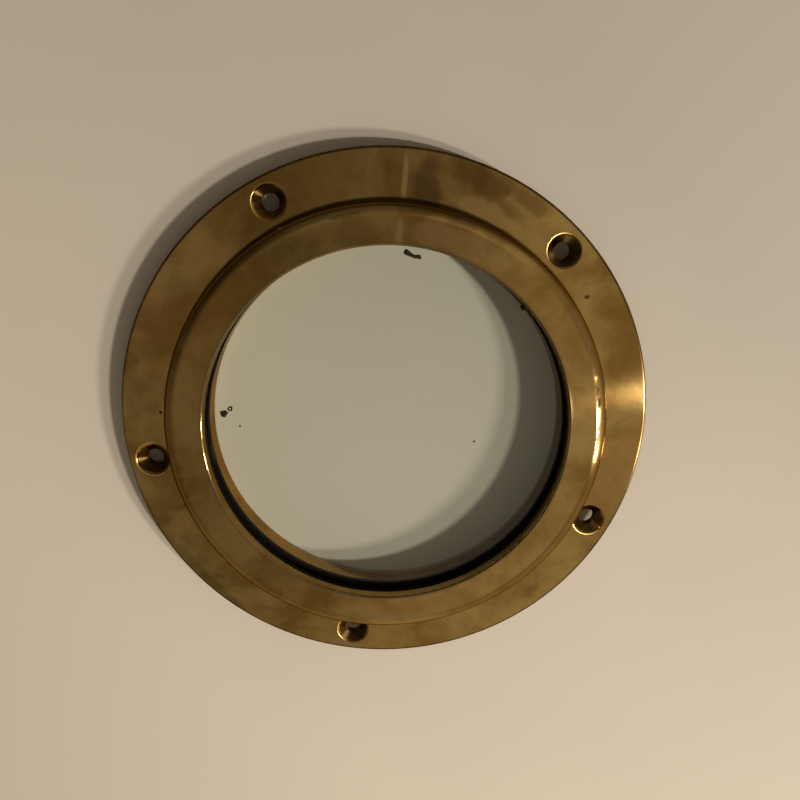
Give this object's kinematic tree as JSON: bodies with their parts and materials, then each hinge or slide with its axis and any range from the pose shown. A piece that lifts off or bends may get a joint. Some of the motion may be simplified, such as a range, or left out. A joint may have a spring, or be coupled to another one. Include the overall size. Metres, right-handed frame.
{
  "type": "sight glass",
  "caption": "Round fixed sight glass: a countersunk flange and raised ring of aged bronze hold a thick pane between rubber rings, clamped from behind by a screwed ring.",
  "frame": {"origin": "centre of the bolt circle on the back face of the flange, where the light seats on its wall", "axes": "+Z along the bolt circle's axis to the viewed side; one mounting hole lies on -Y"},
  "size_m": [0.26, 0.26, 0.0316],
  "materials": {
    "frame_bronze": "turned and hand polished, gone brown with handling, satin with fine concentric marks",
    "ring_bronze": "turned, duller than the frame",
    "screw_brass": "slotted countersunk screws, satin",
    "rubber": "matt black",
    "glass": "clear thick float glass with a slight green tint, dusty, a few black flecks"
  },
  "bodies": {
    "root": {"main_frame": "frame_bronze", "front_gasket": "rubber", "glass_pane": "glass", "glass_edge_band": "rubber", "rear_gasket": "rubber", "retaining_ring": "ring_bronze", "retaining_screw_1": "screw_brass", "retaining_screw_2": "screw_brass", "retaining_screw_3": "screw_brass", "retaining_screw_4": "screw_brass", "retaining_screw_5": "screw_brass", "retaining_screw_6": "screw_brass", "retaining_screw_7": "screw_brass", "retaining_screw_8": "screw_brass"}
  },
  "joints": []
}
